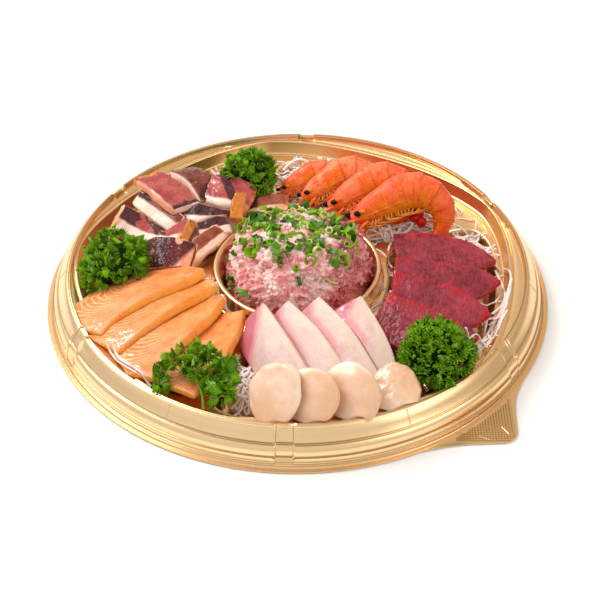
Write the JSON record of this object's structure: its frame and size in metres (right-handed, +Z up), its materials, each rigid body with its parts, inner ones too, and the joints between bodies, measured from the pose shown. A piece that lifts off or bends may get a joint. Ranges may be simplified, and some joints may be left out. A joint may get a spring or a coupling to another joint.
{
  "type": "sashimi plate",
  "caption": "Round gold party tray with five compartments and a centre cup, filled with sliced raw fish, prawns, grilled squid, minced tuna and garnish.",
  "frame": {"origin": "on the tray's axis, in the plane of the underside that it stands on", "axes": "+Z up, +Y towards the back compartment with the prawns and squid behind it, +X right, with the lift tab at +X -Y"},
  "size_m": [0.3, 0.3, 0.0459],
  "materials": {
    "tray_gold": "metallised gold sheet, satin gloss with brushed bands",
    "salmon": "moist, with pale fat lines",
    "yellowtail": "moist, translucent, with pink bloodline",
    "tuna": "moist, fine grained",
    "scallop": "moist, smooth",
    "prawn": "boiled shell, glossy",
    "squid": "grilled, glossy dark skin and pale flesh",
    "minced_tuna": "moist fine mince",
    "parsley": "curly leaf",
    "daikon": "moist pale shreds"
  },
  "bodies": {
    "root": {"tray": "tray_gold", "salmon_1": "salmon", "salmon_2": "salmon", "salmon_3": "salmon", "salmon_4": "salmon", "yellowtail_1": "yellowtail", "yellowtail_2": "yellowtail", "yellowtail_3": "yellowtail", "yellowtail_4": "yellowtail", "tuna_1": "tuna", "tuna_2": "tuna", "tuna_3": "tuna", "tuna_4": "tuna", "scallop_1": "scallop", "scallop_2": "scallop", "scallop_3": "scallop", "scallop_4": "scallop", "prawn_1": "prawn", "prawn_2": "prawn", "prawn_3": "prawn", "prawn_4": "prawn", "squid_1": "squid", "squid_2": "squid", "squid_3": "squid", "squid_4": "squid", "squid_5": "squid", "squid_6": "squid", "squid_7": "squid", "squid_8": "squid", "squid_9": "squid", "squid_10": "squid", "squid_11": "squid", "minced_tuna": "minced_tuna", "parsley_1": "parsley", "parsley_2": "parsley", "parsley_3": "parsley", "parsley_4": "parsley", "daikon_1": "daikon", "daikon_2": "daikon", "daikon_3": "daikon", "daikon_4": "daikon", "daikon_5": "daikon"}
  },
  "joints": []
}
